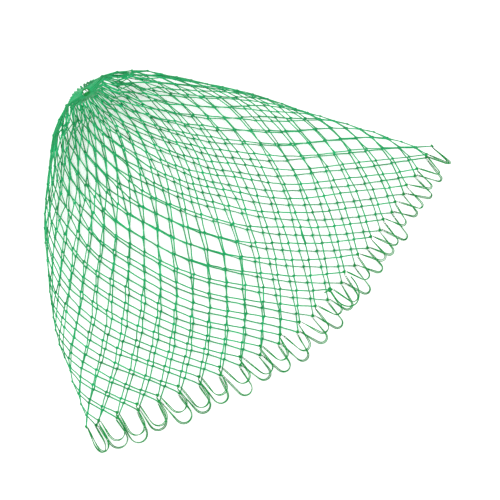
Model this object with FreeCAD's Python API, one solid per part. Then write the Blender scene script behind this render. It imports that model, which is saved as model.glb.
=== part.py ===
import FreeCAD, Part
import math
import os

Vector = FreeCAD.Vector

# A knotted net bag, lying on its side: closed crown towards +Y, open mouth towards -Y.
# Millimetres. The origin is under the middle of the whole bag, on the surface it lies on.

# Netting
COLUMNS = 44              # meshes in each round, and loops round the mouth
ROUNDS = 24               # rounds of netting between the crown and the mouth
BAR_LENGTH = 20.0         # knot to knot, along one side of a mesh
TWINE_DIAMETER = 1.3
KNOT_DIAMETER = 3.8
KNOT_LENGTH = 3.4
CROWN_ROW_KNOT_DIAMETER = 2.6     # the first row of knots is crowded and pulled tighter

# Shape of the bag as it lies
MOUTH_HALF_WIDTH = 266.0
MOUTH_CORNER_REACH = 308.0    # crown to the corners of the mouth, along the bag
MOUTH_MIDDLE_REACH = 377.0    # crown to the middle of the mouth
MOUTH_BOW_POWER = 1.4         # how blunt the curve of the lips is between the corners
MOUTH_HEIGHT = 84.0
CROWN_HEIGHT = 52.0
CROWN_SETBACK = 16.0          # how far the end of the bag bulges behind the crown
OUTLINE_POWER = 0.6           # the side outline widens as this power of the reach
END_RADIUS = 26.0             # round end of the bag, crown to floor
BACK_RISE = (30.0, 96.0)      # the two pulls on the curve of the upper middle line
BACK_CREST = (170.0, 150.0)
SIDE_HEIGHT = 16.0            # widest line of the bag above the floor, at the mouth
SIDE_DRIFT = (-0.091, 0.00047)    # the bag's middle strays sideways, by reach and by its square
FLOOR_SQUARENESS = 5.0        # superellipse powers of the lower and upper halves
BACK_SQUARENESS = 2.2

# Crown
CROWN_RING_RADIUS = 9.0
CROWN_CORD_DIAMETER = 2.0
CROWN_STAGGER = 1.0           # neighbouring bights lie this far either side of the cord
CROWN_KNOT_DIAMETER = 6.5
CROWN_KNOT_LIFT = 3.0         # the cord's knot stands this far outside its ring

# Mouth loops, of doubled twine
LOOP_DIAMETER = 2.4
LOOP_LENGTH = 36.0
LOOP_LENGTH_SPREAD = 3.0
LOOP_TIP_RADIUS = 7.2
LOOP_LEAN = 5.0               # degrees, either way
LOOP_FAN = 0.28               # outward share of a corner loop's direction
LOOP_FLOOR_GAP = 0.2
MOUTH_KNOT_DIAMETER = 4.8
LOOP_KNOT_GAP = 0.35          # between a loop's leg and the knot that it swings on
LOOP_LEG_OFFSET = 2.8         # from the middle of the knot, towards the loop's other knot

# The joint where the loop twine begins and ends, under the upper lip
JOIN_COLUMN = 20
JOIN_KNOT_DIAMETER = 6.0
JOIN_KNOT_DROP = 4.2          # below the mouth knot that it hangs from
SLACK_DIAMETER = 1.6
# Route of the slack end, from the join knot: (across, outward, down)
SLACK_ROUTE = (
    (0.0, 2.6, 1.2),
    (-2.0, 15.0, 5.0),
    (3.0, 27.0, 9.0),
    (14.0, 32.0, 11.0),
    (24.0, 26.0, 10.0),
    (30.0, 13.0, 6.5),
    (29.0, 3.0, 4.0),
)

RELAX_STEPS = 160
SHAPE_HOLD = 0.04             # pull back to the bag's shape at each step


def power_curve(value, power):
    return math.copysign(abs(value) ** power, value)


def along(points, fraction):
    """The point at a fraction of the length of a fine polyline of (reach, height) pairs."""
    lengths = [0.0]
    for first, second in zip(points, points[1:]):
        lengths.append(lengths[-1] + math.dist(first, second))
    target = fraction * lengths[-1]
    for index in range(1, len(points)):
        if lengths[index] >= target:
            break
    span = lengths[index] - lengths[index - 1]
    part = (target - lengths[index - 1]) / span if span else 0.0
    return [a + part * (b - a) for a, b in zip(points[index - 1], points[index])]


def floor_height():
    return KNOT_DIAMETER / 2


def end_circle(arc_from_crown):
    """A point on the round end of the bag, at an arc length down from the crown."""
    drop = CROWN_HEIGHT - floor_height() - END_RADIUS
    centre_reach = math.sqrt(END_RADIUS ** 2 - drop ** 2)
    angle = math.atan2(drop, -centre_reach) + arc_from_crown / END_RADIUS
    reach = centre_reach + END_RADIUS * math.cos(angle)
    return reach, floor_height() + END_RADIUS + END_RADIUS * math.sin(angle)


def lower_middle_line():
    """From the crown ring round the end of the bag and along the floor: (reach, height)."""
    drop = CROWN_HEIGHT - floor_height() - END_RADIUS
    turn = 1.5 * math.pi - math.atan2(drop, -math.sqrt(END_RADIUS ** 2 - drop ** 2))
    arc = turn * END_RADIUS - CROWN_RING_RADIUS
    line = [end_circle(CROWN_RING_RADIUS + arc * step / 40) for step in range(41)]
    line.append((MOUTH_MIDDLE_REACH, floor_height()))
    return line


def upper_middle_line():
    """From the crown ring over the bag's back to the upper lip: (reach, height)."""
    ends = (end_circle(-CROWN_RING_RADIUS), BACK_RISE, BACK_CREST, (MOUTH_MIDDLE_REACH, MOUTH_HEIGHT))
    line = []
    for step in range(81):
        t = step / 80
        weights = ((1 - t) ** 3, 3 * t * (1 - t) ** 2, 3 * t * t * (1 - t), t ** 3)
        line.append(tuple(sum(w * p[axis] for w, p in zip(weights, ends)) for axis in (0, 1)))
    return line


def side_line():
    """The widest line of the bag, crown ring to mouth corner: (half width, reach, height)."""
    line = []
    for step in range(121):
        share = step / 120
        half_width = CROWN_RING_RADIUS + share * (MOUTH_HALF_WIDTH - CROWN_RING_RADIUS)
        spread = (half_width / MOUTH_HALF_WIDTH) ** (1 / OUTLINE_POWER)
        setback = CROWN_SETBACK * (1 - (1 - share) ** 12)
        reach = (MOUTH_CORNER_REACH + CROWN_SETBACK) * spread - setback
        height = CROWN_HEIGHT + (SIDE_HEIGHT - CROWN_HEIGHT) * min(1.0, 2.2 * share) ** 0.8
        line.append((half_width, reach, height))
    return line


def sideways(reach):
    """How far the bag's middle lies to the side of a straight line from the crown."""
    return max(0.0, reach) * (SIDE_DRIFT[0] + SIDE_DRIFT[1] * reach)


def ring_outline(share):
    """A closed fine outline of the bag at a share of the way from crown to mouth."""
    low = along(lower_middle_line(), share)
    high = along(upper_middle_line(), share)
    half_width, side_reach, side_height = along(side_line(), share)
    outline = []
    for step in range(361):
        angle = math.radians(step - 90)
        middle = low if step < 90 or step > 270 else high
        squareness = FLOOR_SQUARENESS if middle is low else BACK_SQUARENESS
        squareness = 2.0 + (squareness - 2.0) * min(1.0, 3.0 * share)
        x = half_width * power_curve(math.cos(angle), 2 / squareness)
        rise = abs(math.sin(angle)) ** (2 / squareness)
        bow = abs(math.sin(angle)) ** (1 + min(1.0, 3.0 * share))
        bow += share * (1 - abs(x / half_width) ** MOUTH_BOW_POWER - bow)
        reach = side_reach + (middle[0] - side_reach) * bow
        height = side_height + (middle[1] - side_height) * rise
        outline.append((x + sideways(side_reach), reach, height))
    return outline


def ring_points(share, offset):
    outline = ring_outline(share)
    points = []
    for column in range(COLUMNS):
        points.append(along(outline, ((column + offset) / COLUMNS) % 1.0))
    return points


def row_shares():
    """Rows stand as far apart as bars of one length allow where the bag is that wide."""
    places = [0.0]
    for row in range(ROUNDS):
        outline = ring_outline((row + 0.5) / ROUNDS)
        girth = sum(math.dist(a, b) for a, b in zip(outline, outline[1:]))
        places.append(places[-1] + math.sqrt(BAR_LENGTH ** 2 - (girth / (2 * COLUMNS)) ** 2))
    return [place / places[-1] for place in places]


def net_rows():
    """Knot places, row by row, drawn together until every bar is near its length."""
    shares = row_shares()
    rows = [ring_points(share, 0.5 * (row % 2)) for row, share in enumerate(shares)]
    for point in rows[-1]:
        point[2] = max(point[2], MOUTH_KNOT_DIAMETER / 2)
    goal = [[tuple(point) for point in row] for row in rows]
    for step in range(RELAX_STEPS):
        for row in range(ROUNDS):
            for column in range(COLUMNS):
                for side in (0, 1):
                    other = (column + side - (1 - row % 2)) % COLUMNS
                    pull_bar(rows, row, column, other)
        for row in range(1, ROUNDS):
            for point, place in zip(rows[row], goal[row]):
                for axis in (0, 1, 2):
                    point[axis] += SHAPE_HOLD * (place[axis] - point[axis])
                point[2] = max(point[2], floor_height())
    return rows


def pull_bar(rows, row, column, other):
    upper = rows[row][column]
    lower = rows[row + 1][other]
    length = math.dist(upper, lower)
    upper_share = 0.0 if row == 0 else 0.5
    lower_share = 0.0 if row + 1 == ROUNDS else 0.5
    excess = (length - BAR_LENGTH) / length
    for axis in (0, 1, 2):
        gap = lower[axis] - upper[axis]
        upper[axis] += upper_share * excess * gap
        lower[axis] -= lower_share * excess * gap


def as_vector(point):
    """From (across, reach, height) to the part's X, Y, Z, before it is centred."""
    return Vector(point[0], -point[1], point[2])


def bar(start, end, diameter, roll):
    """A straight six-sided run of twine, as wide as its diameter over the corners."""
    run = end - start
    side = run.cross(Vector(0, 0, 1) if abs(run.z) < 0.9 * run.Length else Vector(1, 0, 0))
    side = FreeCAD.Rotation(run, roll).multVec(side.normalize())
    turn = FreeCAD.Rotation(run, 60)
    corners = []
    for step in range(6):
        corners.append(start + side * (diameter / 2))
        side = turn.multVec(side)
    return Part.Face(Part.makePolygon(corners + corners[:1])).extrude(run)


def ball(centre, diameter):
    return Part.makeSphere(diameter / 2, centre)


def crown_frame(row):
    """Middle of the crown ring, and the direction out of the bag through it."""
    points = [as_vector(point) for point in row]
    middle = Vector(0, 0, 0)
    for point in points:
        middle += point / len(points)
    outward = (points[0] - middle).cross(points[COLUMNS // 4] - middle)
    outward.normalize()
    return middle, outward


def crown_bights(row):
    """The crown row, its bights lying by turns either side of the gathering cord."""
    outward = crown_frame(row)[1]
    staggered = []
    for column, point in enumerate(row):
        side = CROWN_STAGGER if column % 2 else -CROWN_STAGGER
        staggered.append(as_vector(point) + outward * side)
    return staggered


def fused(solids):
    joined = solids[0].multiFuse(solids[1:])
    return joined.Solids[0] if len(joined.Solids) == 1 else joined


def mesh_round(rows, number):
    """One round of twine: its knots on one row, its bights reaching to the next."""
    upper = [as_vector(point) for point in rows[number - 1]]
    lower = [as_vector(point) for point in rows[number]]
    knot_diameter = CROWN_ROW_KNOT_DIAMETER if number == 2 else KNOT_DIAMETER
    if number == 1:
        upper = crown_bights(rows[0])
    solids = []
    for column in range(COLUMNS):
        ends = [lower[(column + side - number % 2) % COLUMNS] for side in (0, 1)]
        solids += [bar(upper[column], end, TWINE_DIAMETER, roll) for end, roll in zip(ends, (0, 30))]
        if number > 1:
            run = (ends[0] + ends[1]) / 2 - upper[column]
            half = run.normalize() * (KNOT_LENGTH / 2)
            solids.append(bar(upper[column] - half, upper[column] + half, knot_diameter, 15))
    return fused(solids)


def crown_gather_cord(rows):
    """A cord ring through the crown bights, closed by a knot standing outside the ring."""
    middle, outward = crown_frame(rows[0])
    ring = Part.makeTorus(CROWN_RING_RADIUS, CROWN_CORD_DIAMETER / 2, middle, outward)
    knot_middle = middle + outward * CROWN_KNOT_LIFT
    knot = ball(knot_middle, CROWN_KNOT_DIAMETER)
    ends = []
    for column in (COLUMNS // 2 - 2, COLUMNS // 2 + 2):
        anchor = as_vector(rows[0][column])
        ends.append(bar(anchor, knot_middle, CROWN_CORD_DIAMETER * 0.9, 0))
    return fused([ring, knot] + ends)


def mouth_knots(rows):
    """The loop twine's knots, one on each bight of the last round."""
    return Part.makeCompound([ball(as_vector(point), MOUTH_KNOT_DIAMETER) for point in rows[-1]])


def loop_frame(rows, column):
    """A mouth loop's two knots, the way across, the way out square to it, and the skew from it."""
    left = as_vector(rows[-1][column])
    right = as_vector(rows[-1][(column + 1) % COLUMNS])
    across = right - left
    across.normalize()
    middle = (left + right) / 2
    fan = LOOP_FAN * (middle.x - sideways(MOUTH_CORNER_REACH)) / MOUTH_HALF_WIDTH
    outward = Vector(fan, -1, 0)
    if middle.z < MOUTH_KNOT_DIAMETER:
        outward.z = (LOOP_DIAMETER / 2 + LOOP_FLOOR_GAP - middle.z) / LOOP_LENGTH
    outward.normalize()
    skew = math.asin(outward.dot(across))
    outward -= across * outward.dot(across)
    outward.normalize()
    return left, right, across, outward, skew


def mouth_loop(rows, column):
    """Two straight legs from the knots, and a round tip that leans a little to one side."""
    left, right, across, outward, skew = loop_frame(rows, column)
    lean = skew + math.radians(LOOP_LEAN * math.sin(1.7 * column + 1.0))
    length = LOOP_LENGTH + LOOP_LENGTH_SPREAD * math.sin(2.4 * column)
    knot_reach = (MOUTH_KNOT_DIAMETER + LOOP_DIAMETER) / 2 + LOOP_KNOT_GAP
    start_lift = math.sqrt(knot_reach ** 2 - LOOP_LEG_OFFSET ** 2)
    lean_way = outward * math.cos(lean) + across * math.sin(lean)
    tip_middle = (left + right) / 2 + lean_way * (length - LOOP_TIP_RADIUS)
    starts = (left + across * LOOP_LEG_OFFSET + outward * start_lift,
              right - across * LOOP_LEG_OFFSET + outward * start_lift)
    touches = []
    for start, turn in zip(starts, (1, -1)):
        sight = tip_middle - start
        swing = turn * math.asin(LOOP_TIP_RADIUS / sight.Length)
        side = across * outward.dot(sight) - outward * across.dot(sight)
        leg = sight * math.cos(swing) - side * math.sin(swing)
        leg.normalize()
        touches.append(start + leg * math.sqrt(sight.Length ** 2 - LOOP_TIP_RADIUS ** 2))
    legs = [Part.LineSegment(starts[0], touches[0]).toShape(),
            Part.LineSegment(touches[1], starts[1]).toShape()]
    tip = Part.Arc(touches[0], tip_middle + lean_way * LOOP_TIP_RADIUS, touches[1]).toShape()
    path = Part.Wire([legs[0], tip, legs[1]])
    section = Part.makeCircle(LOOP_DIAMETER / 2, starts[0], touches[0] - starts[0])
    return path.makePipeShell([Part.Wire([section])], True, False).Solids[0]


def join_knot_middle(rows):
    return as_vector(rows[-1][JOIN_COLUMN]) - Vector(0, 0, JOIN_KNOT_DROP)


def mouth_join_knot(rows):
    """The overhand knot that ties off the loop twine, with its short cut end."""
    middle = join_knot_middle(rows)
    stub = bar(middle, middle + Vector(-6.0, 2.0, -7.0), SLACK_DIAMETER, 0)
    return fused([ball(middle, JOIN_KNOT_DIAMETER), stub])


def rounded_tube(points, diameter):
    """A tube of straight runs joined by tangent arcs, each as large as its runs allow."""
    edges = []
    last = points[0]
    length = 0.0
    for before, corner, after in zip(points, points[1:], points[2:]):
        into = corner - before
        out = after - corner
        half_turn = into.getAngle(out) / 2
        setback = 0.45 * min(into.Length, out.Length)
        radius = setback / math.tan(half_turn)
        print("arc radius", round(radius, 1))
        start = corner - into.normalize() * setback
        end = corner + out.normalize() * setback
        inward = (out - into).normalize()
        middle = corner + inward * (radius / math.cos(half_turn) - radius)
        edges.append(Part.LineSegment(last, start).toShape())
        edges.append(Part.Arc(start, middle, end).toShape())
        last = end
    edges.append(Part.LineSegment(last, points[-1]).toShape())
    path = Part.Wire(edges)
    section = Part.makeCircle(diameter / 2, points[0], points[1] - points[0])
    tube = path.makePipeShell([Part.Wire([section])], True, False).Solids[0]
    share = tube.Volume / (math.pi * diameter ** 2 / 4 * path.Length)
    print("tube length", round(path.Length, 1), "volume over section times length", round(share, 3))
    return tube


def mouth_slack_end(rows):
    """The loop twine's slack, a limp bight that hangs out of the join under the upper lip."""
    middle = join_knot_middle(rows)
    points = [middle + Vector(across, -out, -down) for across, out, down in SLACK_ROUTE]
    return rounded_tube(points, SLACK_DIAMETER)


def round_pairs():
    """Rounds that don't touch share a node: 1 with 3, 2 with 4, 5 with 7 and so on."""
    pairs = []
    for first in range(1, ROUNDS, 4):
        for number in (first, first + 1):
            pairs.append([number] + ([number + 2] if number + 2 <= ROUNDS else []))
    return pairs


def build():
    rows = net_rows()
    nodes = {}
    for pair in round_pairs():
        name = "mesh_rounds_" + "_".join("%02d" % number for number in pair)
        nodes[name] = Part.makeCompound([mesh_round(rows, number) for number in pair])
    nodes["crown_gather_cord"] = crown_gather_cord(rows)
    nodes["mouth_knots"] = mouth_knots(rows)
    for column in range(COLUMNS):
        nodes["mouth_loop_%02d" % (column + 1)] = mouth_loop(rows, column)
    nodes["mouth_join_knot"] = mouth_join_knot(rows)
    nodes["mouth_slack_end"] = mouth_slack_end(rows)
    return nodes


def centring(nodes):
    """The move that puts the origin under the middle of the bag."""
    box = Part.makeCompound(list(nodes.values())).BoundBox
    return Vector(-box.Center.x, -box.Center.y, -box.ZMin)


nodes = build()
move = centring(nodes)
print("crown to origin:", move)
os.makedirs("parts", exist_ok=True)
for name, shape in nodes.items():
    shape.translate(move)
    shape.exportStep("parts/%s.step" % name)
    print(name, len(shape.Solids), "solids", round(shape.Volume, 1), "mm3", shape.isValid())
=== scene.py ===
import math
import random

import bmesh
import bpy
from mathutils import Matrix, Vector, noise


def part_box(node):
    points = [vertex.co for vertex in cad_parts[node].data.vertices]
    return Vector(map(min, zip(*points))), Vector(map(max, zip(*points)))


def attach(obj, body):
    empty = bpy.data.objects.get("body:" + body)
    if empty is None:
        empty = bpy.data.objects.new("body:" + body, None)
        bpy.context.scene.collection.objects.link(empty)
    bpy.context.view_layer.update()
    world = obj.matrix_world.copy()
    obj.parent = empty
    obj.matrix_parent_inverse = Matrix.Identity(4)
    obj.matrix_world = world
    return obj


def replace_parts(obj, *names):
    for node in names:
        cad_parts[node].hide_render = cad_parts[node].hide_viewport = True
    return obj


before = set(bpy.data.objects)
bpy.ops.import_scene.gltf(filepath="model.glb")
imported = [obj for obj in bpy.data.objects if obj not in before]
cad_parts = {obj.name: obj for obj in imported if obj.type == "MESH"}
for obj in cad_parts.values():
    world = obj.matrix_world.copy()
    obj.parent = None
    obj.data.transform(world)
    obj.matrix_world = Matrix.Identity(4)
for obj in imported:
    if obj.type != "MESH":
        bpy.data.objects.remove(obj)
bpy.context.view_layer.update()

# ---------------------------------------------------------------------------------------------
# Camera. It looks down steeply on the lying bag, turned so that the crown is at the upper left
# and the open mouth faces the lower right.
# ---------------------------------------------------------------------------------------------
VIEW_TURN = math.radians(-39.4)
VIEW_RISE = math.radians(80)
VIEW_DISTANCE = 2.6
VIEW_WIDTH = 0.592           # width seen at the distance of the bag
VIEW_AIM = (0.016, -0.069, 0.03)     # right of the bag's middle and nearer to its mouth

away = Vector((math.sin(VIEW_TURN) * math.cos(VIEW_RISE), -math.cos(VIEW_TURN) * math.cos(VIEW_RISE),
               math.sin(VIEW_RISE)))
camera_data = bpy.data.cameras.new("camera")
camera_data.lens = camera_data.sensor_width * VIEW_DISTANCE / VIEW_WIDTH
camera = bpy.data.objects.new("camera", camera_data)
camera.location = Vector(VIEW_AIM) + away * VIEW_DISTANCE
camera.rotation_euler = (math.pi / 2 - VIEW_RISE, 0, VIEW_TURN)
bpy.context.scene.collection.objects.link(camera)
bpy.context.scene.camera = camera

# ---------------------------------------------------------------------------------------------
# Knot lattice. Forty-four meshes go round the bag, and bars of one length join every knot to
# two knots of the next row. The bag's outline, end and back set where the rows lie.
# ---------------------------------------------------------------------------------------------
COLUMNS = 44
ROUNDS = 24
BAR_LENGTH = 0.020
TWINE_DIAMETER = 0.0013
KNOT_DIAMETER = 0.0038
MOUTH_KNOT_DIAMETER = 0.0048
MOUTH_HALF_WIDTH = 0.266
MOUTH_CORNER_REACH = 0.308
MOUTH_MIDDLE_REACH = 0.377
MOUTH_BOW_POWER = 1.4
MOUTH_HEIGHT = 0.084
CROWN_HEIGHT = 0.052
CROWN_SETBACK = 0.016
CROWN_RING_RADIUS = 0.009
OUTLINE_POWER = 0.6
END_RADIUS = 0.026
BACK_RISE = (0.030, 0.096)
BACK_CREST = (0.170, 0.150)
SIDE_HEIGHT = 0.016
SIDE_DRIFT = (-0.091, 0.47)
FLOOR_SQUARENESS = 5.0
BACK_SQUARENESS = 2.2
RELAX_STEPS = 160
SHAPE_HOLD = 0.04
EASING = 0.4                 # how far a pass moves a knot towards its neighbours' middle
EASING_ROWS = 7              # rows from the crown over which the easing grows
CREEP = 0.13                 # share of a mesh by which the netting has crept round
FOLD_DEPTH = 0.006
FOLD_FREQUENCY = 14
FOLD_SEED = 7
CROWN_DRAW = 0.6


def power_curve(value, power):
    return math.copysign(abs(value) ** power, value)


def along(points, fraction):
    """The point at a fraction of the length of a fine polyline."""
    lengths = [0.0]
    for first, second in zip(points, points[1:]):
        lengths.append(lengths[-1] + math.dist(first, second))
    target = fraction * lengths[-1]
    for index in range(1, len(points)):
        if lengths[index] >= target:
            break
    span = lengths[index] - lengths[index - 1]
    part = (target - lengths[index - 1]) / span if span else 0.0
    return [a + part * (b - a) for a, b in zip(points[index - 1], points[index])]


def end_circle(arc_from_crown):
    """A point on the round end of the bag, at an arc length down from the crown."""
    drop = CROWN_HEIGHT - KNOT_DIAMETER / 2 - END_RADIUS
    centre_reach = math.sqrt(END_RADIUS ** 2 - drop ** 2)
    angle = math.atan2(drop, -centre_reach) + arc_from_crown / END_RADIUS
    reach = centre_reach + END_RADIUS * math.cos(angle)
    return reach, KNOT_DIAMETER / 2 + END_RADIUS + END_RADIUS * math.sin(angle)


def lower_middle_line():
    drop = CROWN_HEIGHT - KNOT_DIAMETER / 2 - END_RADIUS
    turn = 1.5 * math.pi - math.atan2(drop, -math.sqrt(END_RADIUS ** 2 - drop ** 2))
    arc = turn * END_RADIUS - CROWN_RING_RADIUS
    line = [end_circle(CROWN_RING_RADIUS + arc * step / 40) for step in range(41)]
    line.append((MOUTH_MIDDLE_REACH, KNOT_DIAMETER / 2))
    return line


def upper_middle_line():
    ends = (end_circle(-CROWN_RING_RADIUS), BACK_RISE, BACK_CREST, (MOUTH_MIDDLE_REACH, MOUTH_HEIGHT))
    line = []
    for step in range(81):
        t = step / 80
        weights = ((1 - t) ** 3, 3 * t * (1 - t) ** 2, 3 * t * t * (1 - t), t ** 3)
        line.append(tuple(sum(w * p[axis] for w, p in zip(weights, ends)) for axis in (0, 1)))
    return line


def side_line():
    line = []
    for step in range(121):
        share = step / 120
        half_width = CROWN_RING_RADIUS + share * (MOUTH_HALF_WIDTH - CROWN_RING_RADIUS)
        spread = (half_width / MOUTH_HALF_WIDTH) ** (1 / OUTLINE_POWER)
        setback = CROWN_SETBACK * (1 - (1 - share) ** 12)
        reach = (MOUTH_CORNER_REACH + CROWN_SETBACK) * spread - setback
        height = CROWN_HEIGHT + (SIDE_HEIGHT - CROWN_HEIGHT) * min(1.0, 2.2 * share) ** 0.8
        line.append((half_width, reach, height))
    return line


def sideways(reach):
    """How far the bag's middle lies to the side of a straight line from the crown."""
    return max(0.0, reach) * (SIDE_DRIFT[0] + SIDE_DRIFT[1] * reach)


def ring_outline(share):
    """A closed fine outline of the bag at a share of the way from crown to mouth."""
    low = along(lower_middle_line(), share)
    high = along(upper_middle_line(), share)
    half_width, side_reach, side_height = along(side_line(), share)
    outline = []
    for step in range(361):
        angle = math.radians(step - 90)
        middle = low if step < 90 or step > 270 else high
        squareness = FLOOR_SQUARENESS if middle is low else BACK_SQUARENESS
        squareness = 2.0 + (squareness - 2.0) * min(1.0, 3.0 * share)
        x = half_width * power_curve(math.cos(angle), 2 / squareness)
        rise = abs(math.sin(angle)) ** (2 / squareness)
        bow = abs(math.sin(angle)) ** (1 + min(1.0, 3.0 * share))
        bow += share * (1 - abs(x / half_width) ** MOUTH_BOW_POWER - bow)
        reach = side_reach + (middle[0] - side_reach) * bow
        height = side_height + (middle[1] - side_height) * rise
        outline.append((x + sideways(side_reach), reach, height))
    return outline


def row_shares():
    """Rows stand as far apart as bars of one length allow where the bag is that wide."""
    places = [0.0]
    for row in range(ROUNDS):
        outline = ring_outline((row + 0.5) / ROUNDS)
        girth = sum(math.dist(a, b) for a, b in zip(outline, outline[1:]))
        places.append(places[-1] + math.sqrt(BAR_LENGTH ** 2 - (girth / (2 * COLUMNS)) ** 2))
    return [place / places[-1] for place in places]


def pull_bar(upper, lower, upper_share, lower_share):
    length = math.dist(upper, lower)
    excess = (length - BAR_LENGTH) / length
    for axis in (0, 1, 2):
        gap = lower[axis] - upper[axis]
        upper[axis] += upper_share * excess * gap
        lower[axis] -= lower_share * excess * gap


def below(row, column, side):
    """Column of the knot in the next row that a bar from this knot goes to."""
    return (column + side - (1 - row % 2)) % COLUMNS


def net_rows():
    """Knot places, row by row, drawn together until every bar is near its length."""
    rows = []
    for row, share in enumerate(row_shares()):
        outline = ring_outline(share)
        offset = 0.5 * (row % 2)
        rows.append([along(outline, ((column + offset) / COLUMNS) % 1.0) for column in range(COLUMNS)])
    for point in rows[-1]:
        point[2] = max(point[2], MOUTH_KNOT_DIAMETER / 2)
    goal = [[tuple(point) for point in row] for row in rows]
    for step in range(RELAX_STEPS):
        for row in range(ROUNDS):
            held = (0.0 if row == 0 else 0.5, 0.0 if row + 1 == ROUNDS else 0.5)
            for column in range(COLUMNS):
                for side in (0, 1):
                    pull_bar(rows[row][column], rows[row + 1][below(row, column, side)], *held)
        for row in range(1, ROUNDS):
            for point, place in zip(rows[row], goal[row]):
                for axis in (0, 1, 2):
                    point[axis] += SHAPE_HOLD * (place[axis] - point[axis])
                point[2] = max(point[2], KNOT_DIAMETER / 2)
    return rows


mouth_low, mouth_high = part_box("mouth_knots")
rows = net_rows()
reach_high = max(point[1] for point in rows[-1]) + MOUTH_KNOT_DIAMETER / 2
mouth_middle = (mouth_low.x + mouth_high.x) / 2
bag_shift = Vector((mouth_middle - sideways(MOUTH_CORNER_REACH), mouth_low.y + reach_high, mouth_low.z))
knots = [[Vector((x, -reach, z)) + bag_shift for x, reach, z in row] for row in rows]

# The crown's bights are drawn up tight on their cord.
crown_middle = sum(knots[0], Vector()) / COLUMNS
knots[0] = [crown_middle.lerp(place, CROWN_DRAW) for place in knots[0]]

# Hand-tied netting never lies quite even: lines run smoothly through the knots, the back has crept
# round a little against the underside, and small folds push knots aside.
for easing in range(3):
    for row in range(1, ROUNDS):
        for column, place in enumerate(knots[row]):
            feet = [knots[row + 1][below(row, column, side)] for side in (0, 1)]
            heads = [knots[row - 1][(column + side - (1 - row % 2)) % COLUMNS] for side in (0, 1)]
            middle = (feet[0] + feet[1] + heads[0] + heads[1]) / 4
            knots[row][column] = place.lerp(middle, EASING * min(1, (row - 1) / EASING_ROWS))
noise.seed_set(FOLD_SEED)
for row in range(1, ROUNDS):
    creep = CREEP * math.sqrt(math.sin(math.pi * row / ROUNDS))
    ring = knots[row]
    moved = []
    for column, place in enumerate(ring):
        fold = noise.noise_vector(place * FOLD_FREQUENCY) * FOLD_DEPTH * math.sin(math.pi * row / ROUNDS)
        place = place.lerp(ring[(column + 1) % COLUMNS], creep) + Vector((fold.x, fold.y, fold.z * 0.5))
        place.z = max(place.z, KNOT_DIAMETER / 2)
        moved.append(place)
    knots[row] = moved

# ---------------------------------------------------------------------------------------------
# Rounds of netting. Twisted two-ply nylon twine, dyed green, runs zigzag round the bag: from a
# knot on one row to the bight held by the next row's knot, and back.
# ---------------------------------------------------------------------------------------------


def linear(value):
    """A hex sRGB colour as a linear RGBA."""
    channels = [int(value[i:i + 2], 16) / 255 for i in (0, 2, 4)]
    return [c / 12.92 if c <= 0.04045 else ((c + 0.055) / 1.055) ** 2.4 for c in channels] + [1.0]


def add_node(tree, kind, settings=(), inputs=(), links=()):
    """Adds a node; links are (own input, other node, its output)."""
    node = tree.nodes.new(kind)
    for name, value in settings:
        setattr(node, name, value)
    for name, value in inputs:
        node.inputs[name].default_value = value
    for name, other, output in links:
        tree.links.new(other.outputs[output], node.inputs[name])
    return node


def nylon_twine(name, deep, bright, sheen):
    """Twisted nylon: small filaments catch the light, so it is darker in the lay of the ply."""
    material = bpy.data.materials.new(name)
    material.use_nodes = True
    tree = material.node_tree
    shader = tree.nodes["Principled BSDF"]
    place = add_node(tree, "ShaderNodeTexCoord")
    patches = add_node(tree, "ShaderNodeTexNoise", inputs=[("Scale", 60.0), ("Detail", 3.0)],
                       links=[("Vector", place, "Object")])
    dye = add_node(tree, "ShaderNodeValToRGB", links=[("Fac", patches, "Fac")])
    dye.color_ramp.elements[0].position = 0.3
    dye.color_ramp.elements[0].color = linear(deep)
    dye.color_ramp.elements[1].position = 0.7
    dye.color_ramp.elements[1].color = linear(bright)
    tree.links.new(dye.outputs["Color"], shader.inputs["Base Color"])
    fibres = add_node(tree, "ShaderNodeTexNoise", inputs=[("Scale", 2500.0), ("Detail", 2.0)],
                      links=[("Vector", place, "Object")])
    bump = add_node(tree, "ShaderNodeBump", inputs=[("Strength", 0.4), ("Distance", 0.0002)],
                    links=[("Height", fibres, "Fac")])
    tree.links.new(bump.outputs["Normal"], shader.inputs["Normal"])
    shader.inputs["Roughness"].default_value = 0.5
    shader.inputs["Specular IOR Level"].default_value = 0.25
    shader.inputs["Sheen Weight"].default_value = sheen
    shader.inputs["Sheen Roughness"].default_value = 0.4
    return material


mesh_twine = nylon_twine("green_nylon_twine", "008848", "06b26c", 0.1)
loop_twine = nylon_twine("doubled_green_nylon_twine", "008038", "04a048", 0.1)
crown_cord = nylon_twine("green_nylon_cord", "008038", "04a048", 0.1)
random.seed(7)

PLY_OVAL = 0.8                # the two-ply lay: short way over long way of the section
TWIST_PITCH = 0.0052
TWINE_FULLNESS = 1.2         # the soft twine stands this much proud of its tight diameter
TIED_KNOT_SIZE = 0.0043
CROWN_ROW_KNOT_SIZE = 0.003
KNOT_TWINE = 0.0014
SIDES = 6
SPLICED_ROUND = 20            # where the doubled twine of a splice lies beside one bar
SPLICED_COLUMN = 18


def two_ply_section(name, diameter):
    """A flattened section; turned along the twine it makes the two plies' lay."""
    curve = bpy.data.curves.new(name, "CURVE")
    spline = curve.splines.new("POLY")
    spline.points.add(SIDES - 1)
    for index, point in enumerate(spline.points):
        angle = math.tau * index / SIDES
        point.co = (diameter / 2 * math.cos(angle), diameter / 2 * PLY_OVAL * math.sin(angle), 0, 1)
    spline.use_cyclic_u = True
    section = bpy.data.objects.new(name, curve)
    bpy.context.scene.collection.objects.link(section)
    return section


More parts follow.
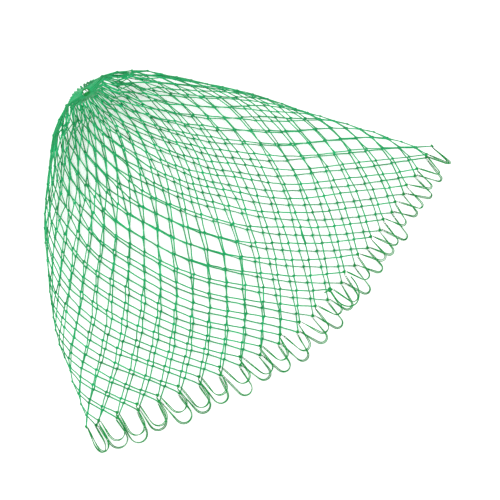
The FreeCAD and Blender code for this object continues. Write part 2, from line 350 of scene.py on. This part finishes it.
def twine_mesh(name, route, section, closed, fineness):
    """A twisted twine along a smooth route: the section turns once for each pitch of its length."""
    curve = bpy.data.curves.new(name, "CURVE")
    curve.dimensions = "3D"
    curve.bevel_mode = "OBJECT"
    curve.bevel_object = section
    curve.use_fill_caps = not closed
    spline = curve.splines.new("NURBS")
    spline.points.add(len(route) - 1)
    turned = 0.0
    for index, (point, place) in enumerate(zip(spline.points, route)):
        if index:
            turned += (place - route[index - 1]).length / TWIST_PITCH * math.tau
        point.co = (*place, 1)
        point.tilt = turned
    spline.order_u = 3
    spline.use_endpoint_u = not closed
    spline.use_cyclic_u = closed
    spline.resolution_u = fineness
    holder = bpy.data.objects.new(name, curve)
    bpy.context.scene.collection.objects.link(holder)
    depsgraph = bpy.context.evaluated_depsgraph_get()
    mesh = bpy.data.meshes.new_from_object(holder.evaluated_get(depsgraph))
    bpy.data.objects.remove(holder)
    bpy.data.curves.remove(curve)
    return mesh


def tube(bm, points, radius, sides, centre=None):
    """Adds a round tube along points; with a centre it is a closed turn about it."""
    rings = []
    for index, point in enumerate(points):
        before = points[index - 1] if centre or index else point
        after = points[(index + 1) % len(points)] if centre or index + 1 < len(points) else point
        run = (after - before).normalized()
        side = point - centre if centre else (Vector((0.13, 0.37, 0.92)) if not rings else side)
        side = (side - run * side.dot(run)).normalized()
        up = run.cross(side)
        ring = []
        for step in range(sides):
            angle = math.tau * step / sides
            ring.append(bm.verts.new(point + (side * math.cos(angle) + up * math.sin(angle)) * radius))
        rings.append(ring)
    for first, second in zip(rings, rings[1:] + (rings[:1] if centre else [])):
        for step in range(sides):
            following = (step + 1) % sides
            bm.faces.new((first[step], first[following], second[following], second[step]))
    if not centre:
        bm.faces.new(rings[0][::-1])
        bm.faces.new(rings[-1])


def knot_turn(bm, centre, run, across, size, thickness, steps, sides):
    """A three-lobed closed turn of twine, pulled up tight, that lies flat along run and across."""
    up = run.cross(across)
    points = []
    for step in range(steps):
        t = math.tau * step / steps
        flat = across * (math.sin(t) + 2 * math.sin(2 * t)) + run * (math.cos(t) - 2 * math.cos(2 * t))
        points.append(centre + (flat - up * 1.3 * math.sin(3 * t)) * (size - thickness) / 5.6)
    tube(bm, points, thickness / 2, sides, centre)


def place_piece(name, mesh, material, body):
    for polygon in mesh.polygons:
        polygon.use_smooth = True
    mesh.materials.clear()
    mesh.materials.append(material)
    piece = bpy.data.objects.new(name, mesh)
    bpy.context.scene.collection.objects.link(piece)
    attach(piece, body)
    return piece


mesh_section = two_ply_section("mesh_section", TWINE_DIAMETER * TWINE_FULLNESS)
round_pieces = []
for number in range(1, ROUNDS + 1):
    upper, lower = knots[number - 1], knots[number]
    route = []
    for column in range(COLUMNS):
        start = upper[column]
        bight = lower[below(number - 1, column, 1)]
        following = upper[(column + 1) % COLUMNS]
        across = (following - start).normalized()
        sag = Vector((random.uniform(-1, 1), random.uniform(-1, 1), random.uniform(-1, 1))) * 0.0004
        route += [start + across * 0.0006, start.lerp(bight, 0.25) + sag * 0.5, start.lerp(bight, 0.6) + sag,
                  bight - across * 0.0008, bight + (bight - (start + following) / 2).normalized() * 0.0008,
                  bight + across * 0.0008, bight.lerp(following, 0.4) - sag, bight.lerp(following, 0.75),
                  following - across * 0.0006]
    mesh = twine_mesh("netting_round_%02d" % number, route, mesh_section, True, 4)
    if number > 1:
        bm = bmesh.new()
        bm.from_mesh(mesh)
        for column in range(COLUMNS):
            feet = [lower[below(number - 1, column, side)] for side in (0, 1)]
            run = ((feet[0] + feet[1]) / 2 - upper[column]).normalized()
            across = feet[1] - feet[0]
            across = (across - run * across.dot(run)).normalized()
            run = (run + across * random.uniform(-0.3, 0.3)).normalized()
            across = (across - run * across.dot(run)).normalized()
            size = CROWN_ROW_KNOT_SIZE if number == 2 else TIED_KNOT_SIZE
            knot_turn(bm, upper[column], run, across, size, KNOT_TWINE, 14, 4)
        if number == SPLICED_ROUND:
            start = upper[SPLICED_COLUMN]
            bight = lower[below(number - 1, SPLICED_COLUMN, 1)]
            beside = (bight - start).cross(Vector((0, 0, 1))).normalized() * TWINE_DIAMETER
            splice = [start.lerp(bight, share) + beside * math.sin(math.pi * share)
                      for share in (0.05, 0.4, 0.7, 0.95)]
            tube(bm, splice, TWINE_DIAMETER * 0.6, 8)
        bm.to_mesh(mesh)
        bm.free()
    piece = place_piece("netting_round_%02d" % number, mesh, mesh_twine, "netting")
    round_pieces.append(piece)

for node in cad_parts:
    if node.startswith("mesh_rounds_"):
        numbers = [int(part) for part in node.split("_")[2:]]
        for number in numbers:
            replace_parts(round_pieces[number - 1], node)

# ---------------------------------------------------------------------------------------------
# Mouth loops. Each is a bight of two strands laid side by side, which cross now and then; the
# legs splay a little from the knots and the tip is a round bend.
# ---------------------------------------------------------------------------------------------
LOOP_DIAMETER = 0.0024
LOOP_LENGTH = 0.036
LOOP_LENGTH_SPREAD = 0.003
LOOP_TIP_RADIUS = 0.0072
LOOP_TIP_SPREAD = 0.0042      # wider tips towards one corner, narrower towards the other
LOOP_LEAN = math.radians(5)
LOOP_FAN = 0.28
LOOP_FLOOR_GAP = 0.0002
LOOP_LEG_OFFSET = 0.0028
STRAND_GAP = 0.00115


def loop_line(column):
    """The loop's middle line, knot to knot, and the direction square to the loop."""
    left, right = knots[-1][column], knots[-1][(column + 1) % COLUMNS]
    across = (right - left).normalized()
    middle = (left + right) / 2
    outward = Vector((LOOP_FAN * (middle.x - mouth_middle) / MOUTH_HALF_WIDTH, -1, 0))
    if middle.z < MOUTH_KNOT_DIAMETER + bag_shift.z:
        outward.z = (LOOP_DIAMETER / 2 + LOOP_FLOOR_GAP - middle.z + bag_shift.z) / LOOP_LENGTH
    outward.normalize()
    lean = math.asin(outward.dot(across)) + LOOP_LEAN * math.sin(1.7 * column + 1.0)
    lean += LOOP_LEAN if middle.z < 0.02 else -LOOP_LEAN
    outward = (outward - across * outward.dot(across)).normalized()
    length = LOOP_LENGTH + LOOP_LENGTH_SPREAD * math.sin(2.4 * column)
    length -= 0.004 * (1 + (middle.x - mouth_middle) / MOUTH_HALF_WIDTH) + (0.002 if middle.z > 0.02 else 0)
    lean_way = outward * math.cos(lean) + across * math.sin(lean)
    tip_radius = LOOP_TIP_RADIUS - LOOP_TIP_SPREAD * (middle.x - mouth_middle) / MOUTH_HALF_WIDTH
    tip_middle = middle + lean_way * (length - tip_radius)
    square = across.cross(outward)
    line = []
    for corner, side in ((left, 1), (right, -1)):
        start = corner + across * side * (LOOP_LEG_OFFSET - 0.0008) + outward * 0.0018
        sight = tip_middle - start
        swing = side * math.asin(tip_radius / sight.length)
        leg = Matrix.Rotation(swing, 3, square) @ sight.normalized()
        touch = start + leg * math.sqrt(sight.length ** 2 - tip_radius ** 2)
        line.append([start.lerp(touch, step / 5) for step in range(6)])
    spoke = line[0][-1] - tip_middle
    turn = spoke.angle(lean_way) * 2
    arc = [tip_middle + Matrix.Rotation(-turn * step / 6, 3, square) @ spoke for step in range(1, 6)]
    return line[0] + arc + line[1][::-1], square


loop_section = two_ply_section("loop_section", TWINE_DIAMETER)
for column in range(COLUMNS):
    line, square = loop_line(column)
    bm = bmesh.new()
    phase = random.uniform(0, math.pi)
    crossings = random.choice((1.0, 1.5, 2.0))
    bow = square * random.uniform(-0.0015, 0.0015)
    for strand in (0, 1):
        route = []
        for index, place in enumerate(line):
            share = index / (len(line) - 1)
            run = (line[min(index + 1, len(line) - 1)] - line[max(index - 1, 0)]).normalized()
            angle = phase + math.pi * strand + math.pi * crossings * share
            apart = STRAND_GAP / 2 * (1 + 0.5 * math.sin(math.pi * share))
            offset = (square * math.sin(angle) * 0.8 + run.cross(square) * math.cos(angle)) * apart
            route.append(place + offset + bow * math.sin(math.pi * share))
        strand_mesh = twine_mesh("strand", route, loop_section, False, 3)
        bm.from_mesh(strand_mesh)
        bpy.data.meshes.remove(strand_mesh)
    mesh = bpy.data.meshes.new("mouth_loop_twine_%02d" % (column + 1))
    bm.to_mesh(mesh)
    bm.free()
    loop = place_piece(mesh.name, mesh, loop_twine, "loop_%02d" % (column + 1))
    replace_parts(loop, "mouth_loop_%02d" % (column + 1))

# ---------------------------------------------------------------------------------------------
# Mouth knots. The doubled twine is tied to every bight of the last round, in knots that are
# fatter and darker than those of the netting.
# ---------------------------------------------------------------------------------------------
MOUTH_KNOT_TWINE = 0.0017

bm = bmesh.new()
for column in range(COLUMNS):
    centre = knots[-1][column]
    across = (knots[-1][(column + 1) % COLUMNS] - knots[-1][column - 1]).normalized()
    run = Vector((random.uniform(-0.3, 0.3), -1, 0))
    run = (run - across * run.dot(across)).normalized()
    knot_turn(bm, centre, across, run, MOUTH_KNOT_DIAMETER, MOUTH_KNOT_TWINE, 16, 5)
mesh = bpy.data.meshes.new("mouth_knot_twine")
bm.to_mesh(mesh)
bm.free()
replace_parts(place_piece("mouth_knot_twine", mesh, loop_twine, "netting"), "mouth_knots")

# ---------------------------------------------------------------------------------------------
# Crown gathering cord. A short cord runs through the bights of the first round, drawn up to a
# small ring; its knot and two cut ends stand on top of the crown.
# ---------------------------------------------------------------------------------------------
CROWN_CORD_DIAMETER = 0.002
CROWN_KNOT_DIAMETER = 0.0065
CROWN_KNOT_LIFT = 0.003

crown_out = (knots[0][0] - crown_middle).cross(knots[0][COLUMNS // 4] - crown_middle).normalized()
crown_side = (knots[0][0] - crown_middle).normalized()
ring_route = []
for step in range(28):
    angle = math.tau * step / 28
    spoke = crown_side * math.cos(angle) + crown_out.cross(crown_side) * math.sin(angle)
    ring_route.append(crown_middle + spoke * CROWN_RING_RADIUS * CROWN_DRAW)
crown_section = two_ply_section("crown_section", CROWN_CORD_DIAMETER)
mesh = twine_mesh("crown_ring", ring_route, crown_section, True, 5)
bm = bmesh.new()
bm.from_mesh(mesh)
bpy.data.meshes.remove(mesh)
crown_knot = crown_middle + crown_out * CROWN_KNOT_LIFT
for column in (COLUMNS // 2 - 2, COLUMNS // 2 + 2):
    anchor = knots[0][column]
    middle = anchor.lerp(crown_knot, 0.5) + crown_out * 0.001
    tube(bm, [anchor, middle, crown_knot], CROWN_CORD_DIAMETER * 0.45, 8)
for swerve in (-0.002, 0.003):
    tail = ((0, 0, 0), (-0.007, -0.002 + swerve, 0.0015), (-0.014, -0.005 + 2 * swerve, -0.002),
            (-0.019, -0.007 + swerve, -0.007))
    tube(bm, [crown_knot + Vector(point) for point in tail], CROWN_CORD_DIAMETER * 0.45, 8)
knot_turn(bm, crown_knot, crown_side, crown_out.cross(crown_side), CROWN_KNOT_DIAMETER, 0.0022, 24, 8)
mesh = bpy.data.meshes.new("crown_gather_cord_twine")
bm.to_mesh(mesh)
bm.free()
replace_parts(place_piece(mesh.name, mesh, crown_cord, "netting"), "crown_gather_cord")

# ---------------------------------------------------------------------------------------------
# Join knot. The loop twine begins and ends here, under the upper lip: an overhand knot of two
# crossed turns, with one short cut end.
# ---------------------------------------------------------------------------------------------
JOIN_COLUMN = 20
JOIN_KNOT_DIAMETER = 0.006
JOIN_KNOT_DROP = 0.0042
SLACK_DIAMETER = 0.0016

join_middle = knots[-1][JOIN_COLUMN] - Vector((0, 0, JOIN_KNOT_DROP))
bm = bmesh.new()
knot_turn(bm, join_middle, Vector((0, -1, 0)), Vector((1, 0, 0)), JOIN_KNOT_DIAMETER, 0.0018, 24, 8)
knot_turn(bm, join_middle, Vector((0, 0, -1)), Vector((0.8, 0.6, 0)), JOIN_KNOT_DIAMETER, 0.0018, 24, 8)
cut_end = [Vector(point) for point in ((0, 0, 0), (-0.003, 0.001, -0.0035), (-0.006, 0.002, -0.007))]
tube(bm, [join_middle + point for point in cut_end], SLACK_DIAMETER / 2, 8)
mesh = bpy.data.meshes.new("join_knot_twine")
bm.to_mesh(mesh)
bm.free()
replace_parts(place_piece(mesh.name, mesh, loop_twine, "netting"), "mouth_join_knot")

for section in (mesh_section, loop_section, crown_section):
    bpy.data.objects.remove(section)

# ---------------------------------------------------------------------------------------------
# Slack end. What is left of the loop twine hangs limp out of the join as one wide bight, and
# its cut end stops in the air, to the side of the next knot.
# ---------------------------------------------------------------------------------------------
SLACK_ROUTE = ((0.0, 0.0026, 0.0012), (-0.002, 0.015, 0.005), (0.003, 0.027, 0.009),
               (0.014, 0.032, 0.011), (0.024, 0.026, 0.010), (0.030, 0.013, 0.0065),
               (0.029, 0.003, 0.004))       # across, outward and down from the join knot

slack_curve = bpy.data.curves.new("slack_end_twine", "CURVE")
slack_curve.dimensions = "3D"
slack_curve.bevel_depth = SLACK_DIAMETER / 2
slack_curve.bevel_resolution = 3
slack_curve.use_fill_caps = True
slack_curve.resolution_u = 8
spline = slack_curve.splines.new("NURBS")
spline.points.add(len(SLACK_ROUTE) - 1)
for point, (across, out, down) in zip(spline.points, SLACK_ROUTE):
    point.co = (*(join_middle + Vector((across, -out, -down))), 1)
spline.order_u = 3
spline.use_endpoint_u = True
slack_curve.materials.append(loop_twine)
slack_end = bpy.data.objects.new("slack_end_twine", slack_curve)
bpy.context.scene.collection.objects.link(slack_end)
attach(slack_end, "netting")
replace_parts(slack_end, "mouth_slack_end")

# ---------------------------------------------------------------------------------------------
# Floor and light: a pale, plain surface and soft studio light.
# ---------------------------------------------------------------------------------------------
FLOOR_SIZE = 6.0
floor_mesh = bpy.data.meshes.new("floor")
bm = bmesh.new()
bmesh.ops.create_grid(bm, x_segments=1, y_segments=1, size=FLOOR_SIZE / 2)
bm.to_mesh(floor_mesh)
bm.free()
floor = bpy.data.objects.new("floor", floor_mesh)
bpy.context.scene.collection.objects.link(floor)
floor_paint = bpy.data.materials.new("pale_floor")
floor_paint.use_nodes = True
floor_paint.node_tree.nodes["Principled BSDF"].inputs["Base Color"].default_value = linear("f4f5f4")
floor_paint.node_tree.nodes["Principled BSDF"].inputs["Roughness"].default_value = 0.9
floor_paint.node_tree.nodes["Principled BSDF"].inputs["Emission Color"].default_value = linear("ffffff")
floor_paint.node_tree.nodes["Principled BSDF"].inputs["Emission Strength"].default_value = 0.25
floor_mesh.materials.append(floor_paint)

bpy.context.scene.view_settings.view_transform = "Standard"
world = bpy.data.worlds.new("studio")
bpy.context.scene.world = world
world.use_nodes = True
world.node_tree.nodes["Background"].inputs["Color"].default_value = (1, 1, 1, 1)
world.node_tree.nodes["Background"].inputs["Strength"].default_value = 0.9
for name, place, size, power in (("key", (-1.2, 1.0, 2.2), 1.6, 30), ("fill", (1.6, -1.0, 1.8), 1.8, 16)):
    lamp = bpy.data.lights.new(name, "AREA")
    lamp.size = size
    lamp.energy = power
    light = bpy.data.objects.new(name, lamp)
    light.location = place
    light.rotation_euler = (-Vector(place)).to_track_quat("-Z", "Y").to_euler()
    bpy.context.scene.collection.objects.link(light)
